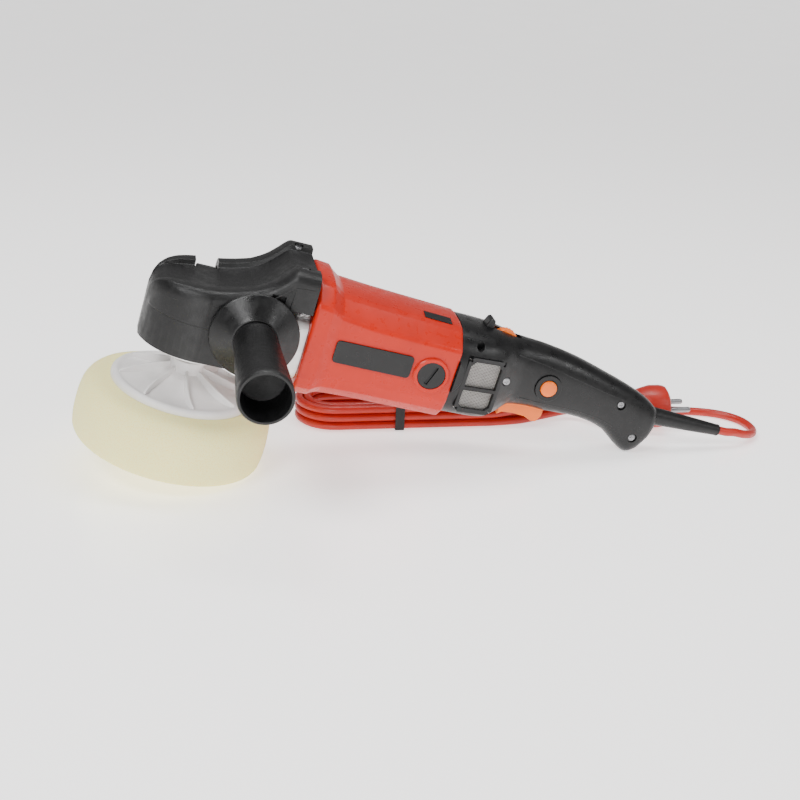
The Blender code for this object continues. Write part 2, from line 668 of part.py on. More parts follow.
def handle_fittings():
    pivot = empty("trigger_axis", TOOL, TRIGGER_PIVOT)
    side_view = [(-3.5, 1.5), (-4.0, -16.5), (0.0, -13.5), (10.0, -12.6), (20.0, -13.4), (26.0, -15.8),
                 (31.0, -15.8),
                 (34.0, -10.0), (34.0, 1.5)]
    trigger = outline_prism("trigger", side_view, 13.4, ORANGE, pivot, (0, 0, 0), SIDE_ON)
    round_edges(trigger, 1.0, 1, 60)
    block("switch_body", (262.0, -7.0, -14.5), (292.0, 7.0, 6.0), BLACK, bevel=1.0)
    block("speed_module", (214.0, -12.0, -12.0), (250.0, 12.0, 8.0), BLACK, bevel=1.0)

    ring("lock_on_ring", 7.3, 11.2, 13.0, 20.6, BLACK, TOOL, "-Y", (LOCK_X, 0, 0), 28)
    press = empty("lock_on_axis", TOOL, (LOCK_X, 0, 0))
    turned("lock_on_button", [(0, 22.6), (5.6, 22.3), (6.9, 21.2), (6.9, 10.5), (0, 10.5)], ORANGE, press,
           "-Y", sides=28)

    dial = empty("dial_axis", TOOL, DIAL_CENTRE)
    outline = [(radius * math.cos(math.radians(a)), radius * math.sin(math.radians(a)))
               for i in range(24) for a, radius in ((15 * i, DIAL_R), (15 * i + 7.5, DIAL_R - 0.7))]
    outline_prism("speed_dial", outline, 6.4, ORANGE, dial, (0, 0, 0), SIDE_ON)

    fin = [(220.9, 30.0), (220.9, 36.5), (223.0, 41.0), (225.2, 42.0), (227.6, 40.5), (228.2, 37.0),
           (228.2, 30.0)]
    guard = outline_prism("dial_guard", fin, 12.0, BLACK, TOOL, (0, 0, 0), SIDE_ON)
    round_edges(guard, 0.8, 1, 60)

    for i, (x, z, start, end) in enumerate(((352.0, -2.0, 14.3, 15.6), (373.0, -29.0, 12.9, 14.0))):
        rod("handle_screw_%d" % (i + 1), 3.4, start, end, STEEL, TOOL, "-Y", (x, 0, z), 14)

    boot = [(0, BOOT_END), (4.6, BOOT_END), (5.2, BOOT_END - 1.2), (6.2, 420.0), (7.5, 392.0),
            (7.6, 376.0), (0, 376.0)]
    turned("cord_boot", boot, RUBBER, TOOL, "X", (0, 0, BOOT_Z), 20)


def spindle_lock():
    press = empty("spindle_lock_axis", TOOL, (-1.5, 28.5, 0))
    block("spindle_lock_button", (-7.4, -4.7, 8.5), (7.4, 4.7, 19.0), BLACK, press, 1.0)


def side_handle():
    place = (BOSS_X, 0, 0)
    guard = [(4.3, 60.0), (17.5, 60.0), (18.5, 59.2), (20.0, 57.6), (32.4, 51.0), (33.6, 49.8),
             (33.6, 48.2), (32.8, 47.2),
             (26.0, BOSS_FACE + GAP), (4.3, BOSS_FACE + GAP)]
    turned("handle_guard", guard, BLACK, TOOL, "-Y", place, 36, closed=True)
    grip = [(0, 124.0), (16.3, 126.0), (17.0, 156.6), (17.6, 158.0), (19.2, 158.0), (20.0, 156.8),
            (20.0, 150.0), (18.6, 138.0),
            (17.8, 110.0), (17.2, 80.0), (16.6, 64.0), (16.0, 60.3), (4.3, 60.3), (4.3, 78.3), (0, 78.3)]
    turned("side_handle", grip, RUBBER, TOOL, "-Y", place, 30)
    rod("handle_stud", 4.0, 32.0, 78.0, STEEL, TOOL, "-Y", place, 16)


handle_shells()
filters()
handle_fittings()
spindle_lock()
side_handle()


# ---------------------------------------------------------------- mains lead, on the floor
# Route points from the boot round behind the plug to the hank: x and y from the spindle, z from the floor
FLOOR_Z = LEAD_D / 2 + 0.05
LEAD_ROUTE = [
    (453.0, 1.6, 12.8), (464.0, 5.0, 9.2), (474.5, 12.5, 6.2), (481.0, 23.5, 4.4),
    (483.0, 36.0, FLOOR_Z), (480.0, 49.0, FLOOR_Z), (471.5, 60.5, FLOOR_Z), (458.5, 68.5, FLOOR_Z),
    (443.0, 73.0, FLOOR_Z),
    (425.0, 76.5, FLOOR_Z), (404.0, 80.0, FLOOR_Z), (382.0, 84.0, FLOOR_Z), (360.0, 88.5, FLOOR_Z),
    (340.0, 92.0, 4.6),
]
LEAD_END = (HANK_X[1] + 2 * GAP, 94.0, 5.5)
PLUG_ROUTE = [
    (HANK_X[1] + GAP, 72.0, 8.0), (330.0, 71.6, 8.6), (337.5, 68.6, 10.8), (343.5, 62.5, 14.0),
    (348.5, 56.0, 16.8),
    (354.5, 51.6, 18.5), (359.0, 50.3, 19.0), (PLUG_FRONT - PLUG_LENGTH - GAP, PLUG_Y, PLUG_R + 0.1),
]


def floor_point(point):
    return Vector((point[0] + ORIGIN_X, point[1] + ORIGIN_Y, point[2]))


def smooth_route(points, spacing):
    """Points of a Catmull-Rom curve through the route, about one spacing apart."""
    padded = [points[0] * 2 - points[1]] + points + [points[-1] * 2 - points[-2]]
    made = []
    for a, b, c, d in zip(padded, padded[1:], padded[2:], padded[3:]):
        steps = max(1, round((c - b).length / spacing))
        for k in range(steps):
            t = k / steps
            made.append(0.5 * (2 * b + (c - a) * t + (2 * a - 5 * b + 4 * c - d) * t * t
                               + (3 * b - a - 3 * c + d) * t ** 3))
    made.append(points[-1])
    return made


def tube(name, points, radius, finish):
    curve = bpy.data.curves.new(name, "CURVE")
    curve.dimensions = "3D"
    curve.bevel_depth = radius * MM
    curve.bevel_resolution = 2
    curve.use_fill_caps = True
    spline = curve.splines.new("POLY")
    spline.points.add(len(points) - 1)
    for knot, point in zip(spline.points, points):
        knot.co = (*(point * MM), 1.0)
    item = bpy.data.objects.new(name, curve)
    PARTS.objects.link(item)
    curve.materials.append(finish)
    return item


def past_boot(distance):
    """The point on the boot's axis that far past its end."""
    local = Vector((BOOT_END + distance, 0, BOOT_Z)) * MM
    return (TOOL_MATRIX @ local) / MM


def mains_lead():
    start = [past_boot(GAP), past_boot(3.0), past_boot(8.0)]
    route = start + [floor_point(p) for p in LEAD_ROUTE] + [floor_point(LEAD_END)]
    tube("lead_from_boot", smooth_route(route, 16.0), LEAD_D / 2, LEAD)
    tube("lead_to_plug", smooth_route([floor_point(p) for p in PLUG_ROUTE], 16.0), LEAD_D / 2, LEAD)

    radius = (HANK_Y[1] - HANK_Y[0]) / 2
    left, right = HANK_X[0] + radius, HANK_X[1] - HANK_CORNER
    outline = [(left - radius * math.cos(math.radians(a)),
                radius * math.sin(math.radians(a))) for a in range(-90, 91, 15)]
    corner = HANK_CORNER
    outline += [(right + corner * math.sin(math.radians(a)),
                 radius - corner + corner * math.cos(math.radians(a)))
                for a in range(0, 91, 30)]
    outline += [(right + corner * math.cos(math.radians(a)),
                 -radius + corner - corner * math.sin(math.radians(a)))
                for a in range(0, 91, 30)]
    middle_y = (HANK_Y[0] + HANK_Y[1]) / 2
    centre = floor_point((0, middle_y, (HANK_Z[0] + HANK_Z[1]) / 2))
    outline_prism("lead_hank", outline, HANK_Z[1] - HANK_Z[0], LEAD, None, centre)

    tie_centre = floor_point((TIE_X, middle_y, (HANK_Z[0] + HANK_Z[1]) / 2))
    wide = radius + TIE_CLEARANCE + TIE_WALL[0]
    high = (HANK_Z[1] - HANK_Z[0]) / 2 + TIE_CLEARANCE + TIE_WALL[1]
    inner_wide, inner_high = wide - TIE_WALL[0], high - TIE_WALL[1]
    tie = block("hank_tie", (-4, -wide, -high), (4, wide, high), RUBBER, None)
    tie.location = tie_centre * MM
    hole = block("tie_hole", (-6, -inner_wide, -inner_high), (6, inner_wide, inner_high), None, None, 0,
                 CUTTERS)
    hole.location = tie_centre * MM
    combine(tie, hide(hole))

    body = [(0, 0.0), (14.5, 0.0), (18.2, -2.5), (PLUG_R, -7.0), (PLUG_R, -16.0), (16.5, -25.0),
            (11.0, -33.0),
            (7.0, -39.0), (6.0, -PLUG_LENGTH), (0, -PLUG_LENGTH)]
    turned("plug_body", body, LEAD, None, "X", floor_point((PLUG_FRONT, PLUG_Y, PLUG_R + 0.1)), 20)
    for i, side in enumerate((-1, 1)):
        place = floor_point((PLUG_FRONT, PLUG_Y + side * PIN_SPACING / 2, PLUG_R + 0.1))
        pin = [(0, 19.3), (1.6, 19.3), (2.4, 18.0), (2.4, GAP), (0, GAP)]
        turned("plug_pin_%d" % (i + 1), pin, STEEL, None, "X", place, 14)


mains_lead()
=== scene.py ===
"""Rotary polisher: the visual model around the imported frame."""

import json
import math

import bmesh
import bpy
from mathutils import Matrix, Vector, noise
from mathutils.bvhtree import BVHTree


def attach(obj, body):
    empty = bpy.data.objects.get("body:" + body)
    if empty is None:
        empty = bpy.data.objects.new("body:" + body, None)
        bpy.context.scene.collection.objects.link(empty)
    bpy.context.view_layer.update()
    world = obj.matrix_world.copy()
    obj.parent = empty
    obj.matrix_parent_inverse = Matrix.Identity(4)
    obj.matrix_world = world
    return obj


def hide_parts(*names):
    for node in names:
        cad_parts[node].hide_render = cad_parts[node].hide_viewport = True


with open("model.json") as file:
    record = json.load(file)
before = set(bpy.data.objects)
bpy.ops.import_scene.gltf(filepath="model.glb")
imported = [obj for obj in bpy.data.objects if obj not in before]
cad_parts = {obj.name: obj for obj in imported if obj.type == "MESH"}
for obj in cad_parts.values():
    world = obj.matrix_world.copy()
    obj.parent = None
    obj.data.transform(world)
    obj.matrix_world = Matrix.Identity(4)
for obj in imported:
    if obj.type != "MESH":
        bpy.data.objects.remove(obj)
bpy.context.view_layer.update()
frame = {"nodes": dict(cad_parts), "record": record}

MM = 0.001
NODES = frame["nodes"]
BODY_OF = {node: body for body, nodes in frame["record"]["behaviour"]["bodies"].items() for node in nodes}

# The tool's own frame: X along the motor, Z up the spindle, zero where the axes cross, in millimetres
ORIGIN = Vector((-137.68, 37.95, 135.15))
TOOL = (
    Matrix.Translation(ORIGIN * MM)
    @ Matrix.Rotation(math.radians(13.96), 4, "Y")
    @ Matrix.Rotation(math.radians(3.44), 4, "X")
)
WORLD = Matrix.Identity(4)


# ---------------------------------------------------------------- camera, floor and light
CAMERA_PLACE = (-0.18619, -0.95749, 0.45092)
CAMERA_AZIMUTH = math.radians(-11.69)
CAMERA_ELEVATION = math.radians(21.49)
CAMERA_ROLL = math.radians(3.0)
CAMERA_LENS = 60.72
CAMERA_SENSOR = 36.0


def make_camera():
    azimuth, elevation, roll = CAMERA_AZIMUTH, CAMERA_ELEVATION, CAMERA_ROLL
    right = Vector((math.cos(azimuth), math.sin(azimuth), 0))
    ahead = Vector((-math.sin(azimuth) * math.cos(elevation), math.cos(azimuth) * math.cos(elevation),
                    -math.sin(elevation)))
    up = right.cross(ahead)
    axis_x = right * math.cos(roll) + up * math.sin(roll)
    axis_y = up * math.cos(roll) - right * math.sin(roll)
    data = bpy.data.cameras.new("camera")
    data.sensor_width = CAMERA_SENSOR
    data.lens = CAMERA_LENS
    camera = bpy.data.objects.new("camera", data)
    bpy.context.scene.collection.objects.link(camera)
    turn = Matrix((axis_x, axis_y, -ahead)).transposed().to_4x4()
    camera.matrix_world = Matrix.Translation(CAMERA_PLACE) @ turn
    bpy.context.scene.camera = camera


def area_light(name, place, target, size, power):
    data = bpy.data.lights.new(name, "AREA")
    data.shape = "RECTANGLE"
    data.size, data.size_y = size
    data.energy = power
    light = bpy.data.objects.new(name, data)
    bpy.context.scene.collection.objects.link(light)
    aim = (Vector(target) - Vector(place)).to_track_quat("-Z", "Y")
    light.matrix_world = Matrix.Translation(place) @ aim.to_matrix().to_4x4()


# The backdrop is pale at the horizon and fades to a dimmer sky. SKY_FADE is the sine of the elevation
# where the fade ends
SKY_FADE = 0.34
HORIZON_LIGHT = 0.75
SKY_LIGHT = 0.3


def make_studio():
    world = bpy.data.worlds.new("studio")
    world.use_nodes = True
    background = world.node_tree.nodes["Background"]
    background.inputs["Color"].default_value = (1.0, 0.99, 0.985, 1)
    tree = world.node_tree
    split = add_node(tree, "ShaderNodeSeparateXYZ")
    tree.links.new(add_node(tree, "ShaderNodeTexCoord").outputs["Generated"], split.inputs["Vector"])
    fade = tree.nodes.new("ShaderNodeMapRange")
    fade.inputs["From Max"].default_value = SKY_FADE
    fade.inputs["To Min"].default_value = HORIZON_LIGHT
    fade.inputs["To Max"].default_value = SKY_LIGHT
    tree.links.new(split.outputs["Z"], fade.inputs["Value"])
    tree.links.new(fade.outputs["Result"], background.inputs["Strength"])
    bpy.context.scene.world = world
    area_light("key", (-0.9, -0.9, 1.5), (0, 0, 0.08), (0.7, 0.45), 24)
    area_light("fill", (1.2, -0.8, 0.9), (0, 0, 0.08), (0.5, 0.4), 5)
    area_light("front", (-0.5, -1.5, 0.35), (-0.1, 0, 0.06), (0.9, 0.5), 9)
    area_light("top", (0.1, 0.3, 1.5), (0, 0, 0.08), (1.5, 0.35), 17)


# ---------------------------------------------------------------- materials
def new_material(name, colour, roughness, metallic=0.0):
    made = bpy.data.materials.new(name)
    made.use_nodes = True
    shader = made.node_tree.nodes["Principled BSDF"]
    shader.inputs["Base Color"].default_value = (*colour, 1)
    shader.inputs["Roughness"].default_value = roughness
    shader.inputs["Metallic"].default_value = metallic
    return made, shader


def add_node(tree, kind, **sockets):
    node = tree.nodes.new(kind)
    for name, value in sockets.items():
        node.inputs[name.replace("_", " ")].default_value = value
    return node


def object_texture(tree, kind, scale, **sockets):
    """A texture over the object's own coordinates, in repeats a metre."""
    coordinates = tree.nodes.new("ShaderNodeTexCoord")
    texture = add_node(tree, kind, Scale=scale, **sockets)
    tree.links.new(coordinates.outputs["Object"], texture.inputs["Vector"])
    return texture


def ramp(tree, source, low, high, start=0.35, end=0.65):
    made = tree.nodes.new("ShaderNodeValToRGB")
    made.color_ramp.elements[0].position = start
    made.color_ramp.elements[1].position = end
    made.color_ramp.elements[0].color = (*low, 1)
    made.color_ramp.elements[1].color = (*high, 1)
    tree.links.new(source, made.inputs["Fac"])
    return made.outputs["Color"]


def grey(value):
    return (value, value, value)


GLOSS_SPREAD = 0.08


def surface(name, colour, roughness, metallic=0.0, *, grain, bump, vary=0.12, painted_edge_highlight=None, shine=0.5):
    """Colour that drifts softly, uneven gloss, a fine bump, and a painted highlight where an edge colour is
    given: convex edges painted paler, as if catching the light.
    """
    made, shader = new_material(name, colour, roughness, metallic)
    tree = made.node_tree
    cloud = object_texture(tree, "ShaderNodeTexNoise", 38.0, Detail=5.0)
    darker = tuple(c * (1 - vary) for c in colour)
    lighter = tuple(min(1.0, c * (1 + vary)) for c in colour)
    tint = ramp(tree, cloud.outputs["Fac"], darker, lighter)
    if painted_edge_highlight is not None:
        geometry = tree.nodes.new("ShaderNodeNewGeometry")
        # Painted highlight: Pointiness paints the convex edges paler, as light catching them would
        edge = ramp(tree, geometry.outputs["Pointiness"], grey(0.0), grey(0.55), 0.52, 0.62)
        mix = tree.nodes.new("ShaderNodeMix")
        mix.data_type = "RGBA"
        mix.inputs["B"].default_value = (*painted_edge_highlight, 1)
        tree.links.new(edge, mix.inputs["Factor"])
        tree.links.new(tint, mix.inputs["A"])
        tint = mix.outputs["Result"]
    tree.links.new(tint, shader.inputs["Base Color"])
    gloss = object_texture(tree, "ShaderNodeTexNoise", 160.0, Detail=6.0)
    glossiest, dullest = max(0.05, roughness - GLOSS_SPREAD), min(1.0, roughness + GLOSS_SPREAD)
    spread = ramp(tree, gloss.outputs["Fac"], grey(glossiest), grey(dullest))
    tree.links.new(spread, shader.inputs["Roughness"])
    fine = object_texture(tree, "ShaderNodeTexNoise", grain, Detail=3.0)
    relief = add_node(tree, "ShaderNodeBump", Strength=bump, Distance=0.0003)
    tree.links.new(fine.outputs["Fac"], relief.inputs["Height"])
    tree.links.new(relief.outputs["Normal"], shader.inputs["Normal"])
    shader.inputs["Specular IOR Level"].default_value = shine
    return made


def foam_material():
    made, shader = new_material("foam", (0.9, 0.84, 0.55), 0.92)
    tree = made.node_tree
    cells = object_texture(tree, "ShaderNodeTexVoronoi", 900.0, Randomness=1.0)
    tint = ramp(tree, cells.outputs["Distance"], (1.0, 0.82, 0.25), (1.0, 0.93, 0.42), 0.05, 0.5)
    tree.links.new(tint, shader.inputs["Base Color"])
    relief = add_node(tree, "ShaderNodeBump", Strength=0.3, Distance=0.0004)
    tree.links.new(cells.outputs["Distance"], relief.inputs["Height"])
    tree.links.new(relief.outputs["Normal"], shader.inputs["Normal"])
    shader.inputs["Subsurface Weight"].default_value = 0.12
    shader.inputs["Subsurface Scale"].default_value = 0.004
    shader.inputs["Sheen Weight"].default_value = 0.08
    return made


def floor_material():
    made, shader = new_material("floor", (0.97, 0.96, 0.955), 0.12)
    tree = made.node_tree
    haze = object_texture(tree, "ShaderNodeTexNoise", 9.0, Detail=4.0)
    tree.links.new(ramp(tree, haze.outputs["Fac"], grey(0.17), grey(0.23)), shader.inputs["Roughness"])
    shader.inputs["Specular IOR Level"].default_value = 0.4
    shader.inputs["Emission Color"].default_value = (1.0, 0.985, 0.98, 1)
    shader.inputs["Emission Strength"].default_value = 1.05
    return made


MATERIALS = {
    "red_shell": surface("red_shell", (0.5, 0.012, 0.001), 0.33, grain=1300, bump=0.02, vary=0.05,
                         shine=0.35),
    # Black plastic and black rubber carry a painted highlight: their convex edges are painted paler
    "black_plastic": surface("black_plastic", (0.003, 0.003, 0.0033), 0.34, grain=2300, bump=0.28,
                             vary=0.25, painted_edge_highlight=(0.014, 0.014, 0.015), shine=0.4),
    "black_rubber": surface("black_rubber", (0.0032, 0.0032, 0.0035), 0.43, grain=1500, bump=0.5,
                            vary=0.25, painted_edge_highlight=(0.012, 0.012, 0.012), shine=0.4),
    "orange_plastic": surface("orange_plastic", (0.92, 0.16, 0.002), 0.36, grain=1500, bump=0.06,
                              vary=0.08),
    "cast_aluminium": surface("cast_aluminium", (0.72, 0.7, 0.69), 0.42, 1.0, grain=1700, bump=0.35,
                              vary=0.08),
    "steel": surface("steel", (0.3, 0.3, 0.31), 0.34, 1.0, grain=2600, bump=0.08, vary=0.1),
    "copper": surface("copper", (0.7, 0.3, 0.14), 0.34, 1.0, grain=2000, bump=0.3),
    "carbon": surface("carbon", (0.04, 0.04, 0.042), 0.8, grain=2500, bump=0.3),
    "grey_mesh": surface("grey_mesh", (0.5, 0.48, 0.46), 0.4, 0.8, grain=2500, bump=0.1),
    "white_nylon": surface("white_nylon", (0.82, 0.8, 0.79), 0.42, grain=1200, bump=0.1, vary=0.05),
    "red_lead": surface("red_lead", (0.42, 0.012, 0.003), 0.4, grain=1500, bump=0.12, vary=0.1),
    "yellow_foam": foam_material(),
}
SLOT_OF = {part["node"]: part["material_slot"] for part in frame["record"]["subparts"]}


# ---------------------------------------------------------------- making pieces
def link(name, data, matrix=TOOL):
    """A piece whose mesh or curve is put in the shared frame, so that its box is its true one."""
    data.transform(matrix)
    piece = bpy.data.objects.new(name, data)
    bpy.context.scene.collection.objects.link(piece)
    return piece


def add_detail(piece, slot, body):
    """A piece that stands for no CAD node."""
    piece.data.materials.clear()
    piece.data.materials.append(MATERIALS[slot])
    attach(piece, body)
    return piece


def along(axis, at=(0, 0, 0)):
    """The tool's frame with its Z turned to X, Y or -Y, at a point in millimetres."""
    turns = {"X": (90, "Y"), "Y": (-90, "X"), "-Y": (90, "X"), "Z": (0, "Z")}
    degrees, about = turns[axis]
    return TOOL @ Matrix.Translation(Vector(at) * MM) @ Matrix.Rotation(math.radians(degrees), 4, about)


MADE = set()


def settle(piece, node, *more):
    """The piece takes the node's material, rides on the node's body and stands for the nodes."""
    slot = SLOT_OF[node]
    piece.data.materials.clear()
    piece.data.materials.append(MATERIALS[slot])
    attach(piece, BODY_OF[node])
    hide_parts(node, *more)
    MADE.update((node, *more))
    return piece


def bevel(piece, width, segments=2, angle=35.0):
    made = piece.modifiers.new("round", "BEVEL")
    made.width = width * MM
    made.segments = segments
    made.limit_method = "ANGLE"
    made.angle_limit = math.radians(angle)
    made.use_clamp_overlap = True
    return piece


def shade(mesh, angle=34.0):
    mesh.shade_smooth()
    mesh.set_sharp_from_angle(angle=math.radians(angle))


def mesh_from(name, bm):
    mesh = bpy.data.meshes.new(name)
    bm.to_mesh(mesh)
    bm.free()
    return mesh


def turned_mesh(name, profile, sides=128, closed=False):
    """A lathe shape from (radius, height) in millimetres."""
    bm = bmesh.new()
    rows = []
    for radius, height in profile:
        if radius == 0:
            rows.append([bm.verts.new((0, 0, height * MM))])
            continue
        angles = [2 * math.pi * i / sides for i in range(sides)]
        circle = [(radius * MM * math.cos(a), radius * MM * math.sin(a), height * MM) for a in angles]
        rows.append([bm.verts.new(point) for point in circle])
    pairs = list(zip(rows, rows[1:]))
    if closed:
        pairs.append((rows[-1], rows[0]))
    for first, second in pairs:
        for i in range(sides):
            j = (i + 1) % sides
            corners = [first[i % len(first)], second[i % len(second)], second[j % len(second)],
                       first[j % len(first)]]
            corners = list(dict.fromkeys(corners))
            if len(corners) > 2:
                bm.faces.new(corners)
    bmesh.ops.recalc_face_normals(bm, faces=bm.faces)
    mesh = mesh_from(name, bm)
    shade(mesh)
    return mesh


EDGE_ROUND = 0.4
CREASE_ANGLE = 34.0


def refined(node):
    """The CAD shape with its loose facets welded, its edges rounded and its round sides smooth."""
    source = NODES[node]
    mesh = source.data.copy()
    bm = bmesh.new()
    bm.from_mesh(mesh)
    bmesh.ops.remove_doubles(bm, verts=bm.verts, dist=0.00001)
    bmesh.ops.dissolve_limit(bm, angle_limit=math.radians(0.6), verts=bm.verts, edges=bm.edges)
    bm.to_mesh(mesh)
    bm.free()
    shade(mesh, CREASE_ANGLE)
    piece = link(node + "_visual", mesh, source.matrix_world.copy())
    bevel(piece, EDGE_ROUND, 3, CREASE_ANGLE)
    piece.modifiers["round"].harden_normals = True
    return settle(piece, node)


def loft_mesh(name, rings):
    """A closed skin through rings of points in millimetres, with the same count in each."""
    bm = bmesh.new()
    rows = [[bm.verts.new(Vector(point) * MM) for point in ring] for ring in rings]
    count = len(rows[0])
    for first, second in zip(rows, rows[1:]):
        for i in range(count):
            j = (i + 1) % count
            bm.faces.new((first[i], first[j], second[j], second[i]))
    bm.faces.new(rows[0])
    bm.faces.new(rows[-1][::-1])
    bmesh.ops.recalc_face_normals(bm, faces=bm.faces)
    return mesh_from(name, bm)


def box_mesh(low, high):
    bm = bmesh.new()
    bmesh.ops.create_cube(bm, size=1.0)
    size = Vector([b - a for a, b in zip(low, high)])
    middle = Vector([(a + b) / 2 for a, b in zip(low, high)])
    bmesh.ops.scale(bm, vec=size * MM, verts=bm.verts)
    bmesh.ops.translate(bm, vec=middle * MM, verts=bm.verts)
    return mesh_from("box", bm)


def round_cutter(radius, start, end, axis, at):
    profile = [(0, end), (radius, end), (radius, start), (0, start)]
    return link("cutter", turned_mesh("cutter", profile, 48), along(axis, at))


def box_cutter(low, high):
    return link("cutter", box_mesh(low, high))


def combine(piece, other, operation):
    """Applies a Boolean between the piece and the other object, which is then removed."""
    made = piece.modifiers.new("combine", "BOOLEAN")
    made.operation = operation
    made.object = other
    made.solver = "EXACT"
    bpy.context.view_layer.objects.active = piece
    bpy.ops.object.modifier_apply(modifier="combine")
    bpy.data.objects.remove(other, do_unlink=True)


def cut(piece, cutter):
    combine(piece, cutter, "DIFFERENCE")


def smooth_rows(rows, spacing):
    """Rows (x, value, ...) filled in along a smooth curve."""
    padded = [rows[0]] + list(rows) + [rows[-1]]
    made = []
    for a, b, c, d in zip(padded, padded[1:], padded[2:], padded[3:]):
        steps = max(1, round((c[0] - b[0]) / spacing))
        for k in range(steps):
            t = k / steps
            row = []
            for p, q, r, u in zip(a, b, c, d):
                row.append(0.5 * (2 * q + (r - p) * t + (2 * p - 5 * q + 4 * r - u) * t * t
                                  + (3 * q - p - 3 * r + u) * t ** 3))
            row[0] = b[0] + (c[0] - b[0]) * t
            made.append(tuple(row))
    made.append(tuple(rows[-1]))
    return made


def smooth_route(points, spacing):
    """Points of a Catmull-Rom curve through the route, about one spacing apart."""
    padded = [points[0] * 2 - points[1]] + points + [points[-1] * 2 - points[-2]]
    made = []
    for a, b, c, d in zip(padded, padded[1:], padded[2:], padded[3:]):
        steps = max(1, round((c - b).length / spacing))
        for k in range(steps):
            t = k / steps
            made.append(0.5 * (2 * b + (c - a) * t + (2 * a - 5 * b + 4 * c - d) * t * t
                               + (3 * b - a - 3 * c + d) * t ** 3))
    made.append(points[-1])
    return made


def tube(name, points, radius, resolution, matrix=TOOL):
    """A round cord or bead along points in millimetres."""
    curve = bpy.data.curves.new(name, "CURVE")
    curve.dimensions = "3D"
    curve.bevel_depth = radius * MM
    curve.bevel_resolution = resolution
    curve.use_fill_caps = True
    spline = curve.splines.new("POLY")
    spline.points.add(len(points) - 1)
    for knot, point in zip(spline.points, points):
        knot.co = (*(point * MM), 1)
    spline.use_smooth = True
    return link(name, curve, matrix)


# ---------------------------------------------------------------- mains lead
LEAD_D = 7.3
FLOOR_Z = LEAD_D / 2 + 0.05
HANK_X = (83.0, 322.0)
HANK_Y = (57.0, 123.4)
BOOT_TIP = Vector((453.0, 0.0, -10.5))

LEAD_ROUTE = [
    (453.0, 1.6, 12.8), (464.0, 5.0, 9.2), (474.5, 12.5, 6.2), (481.0, 23.5, 4.4),
    (483.0, 36.0, FLOOR_Z), (480.0, 49.0, FLOOR_Z), (471.5, 60.5, FLOOR_Z), (458.5, 68.5, FLOOR_Z),
    (443.0, 73.0, FLOOR_Z), (425.0, 76.5, FLOOR_Z), (404.0, 80.0, FLOOR_Z), (382.0, 84.0, FLOOR_Z),
    (360.0, 88.5, FLOOR_Z), (340.0, 92.0, 4.6), (322.6, 94.0, 5.5),
]
PLUG_ROUTE = [
    (322.3, 72.0, 8.0), (330.0, 71.6, 8.6), (337.5, 68.6, 10.8), (343.5, 62.5, 14.0), (348.5, 56.0, 16.8),
    (354.5, 51.6, 18.5), (359.0, 50.3, 19.0), (362.7, 50.0, 19.1),
]


def on_floor(point):
    return Vector((point[0] + ORIGIN.x, point[1] + ORIGIN.y, point[2]))


def eased(t):
    t = min(1.0, max(0.0, t))
    return t * t * (3 - 2 * t)


# The right-hand end of the hank rises by one diameter, so that the lead's two ends leave under it
RISE_FROM = 250.0
RISE_OVER = 45.0
HANK_FIRST_X = 185.0
HANK_LAST_X = 262.0
FOLD_STEPS = 16
RUN_STEPS = 18
HANK_ENTRY = [
    (296.0, 96.0, 4.6), (270.0, 98.5, 6.5), (245.0, 102.0, 11.0), (220.0, 106.5, 15.5),
    (200.0, 109.8, 18.0),
]
HANK_EXIT = [(280.0, 63.5, 4.0), (302.0, 68.5, 5.8)]


def hank_turns():
    """Six turns of the hank from the top layer down."""
    outer = (HANK_Y[1] - HANK_Y[0]) / 2 - LEAD_D / 2 - 0.05
    inner = outer - LEAD_D - 0.1
    layer = LEAD_D + 0.05
    middle = (HANK_Y[0] + HANK_Y[1]) / 2
    left, right = HANK_X[0] + outer + LEAD_D / 2, HANK_X[1] - outer - LEAD_D / 2
    turns = [(inner, 2), (outer, 2), (outer, 1), (inner, 1), (inner, 0), (outer, 0)]
    fold = [math.pi * k / FOLD_STEPS for k in range(FOLD_STEPS)]
    points = list(HANK_ENTRY)

    def add(x, across, level, raised=True):
        lift = LEAD_D * eased((x - RISE_FROM) / RISE_OVER) if raised else 0.0
        points.append((x, middle + across, FLOOR_Z + level * layer + lift))

    for index, (radius, level) in enumerate(turns):
        before, level_before = turns[index - 1] if index else (radius, level)
        last = index == len(turns) - 1
        start = right if index else HANK_FIRST_X
        count = max(2, round((start - left) / 12))
        for k in range(count):
            x = start + (left - start) * k / count
            t = eased((right - x) / (right - left) * 1.4)
            add(x, before + (radius - before) * t, level_before + (level - level_before) * t)
        for angle in fold:
            add(left - radius * math.sin(angle), radius * math.cos(angle), level)
        stop = HANK_LAST_X if last else right
        for k in range(RUN_STEPS):
            add(left + (stop - left) * k / RUN_STEPS, -radius, level, not last)
        if not last:
            for angle in fold:
                add(right + radius * math.sin(angle), -radius * math.cos(angle), level)
    return points + HANK_EXIT


def mains_lead():
    start = [(TOOL @ ((BOOT_TIP + Vector((out, 0, 0))) * MM)) / MM for out in (0.3, 3.0, 8.0)]
    route = start + [on_floor(p) for p in LEAD_ROUTE + hank_turns() + PLUG_ROUTE]
    lead = tube("mains_lead", smooth_route(route, 4.0), LEAD_D / 2, 5, WORLD)
    settle(lead, "lead_from_boot", "lead_hank", "lead_to_plug")
    pieces = [refined(name) for name in ("plug_body", "plug_pin_1", "plug_pin_2", "hank_tie")]
    pieces.append(cord_boot())


# ---------------------------------------------------------------- foam pad and its plate
RIM_Z = -72.3
PAD_TOP = RIM_Z - 0.3
PAD_BOTTOM = -120.3


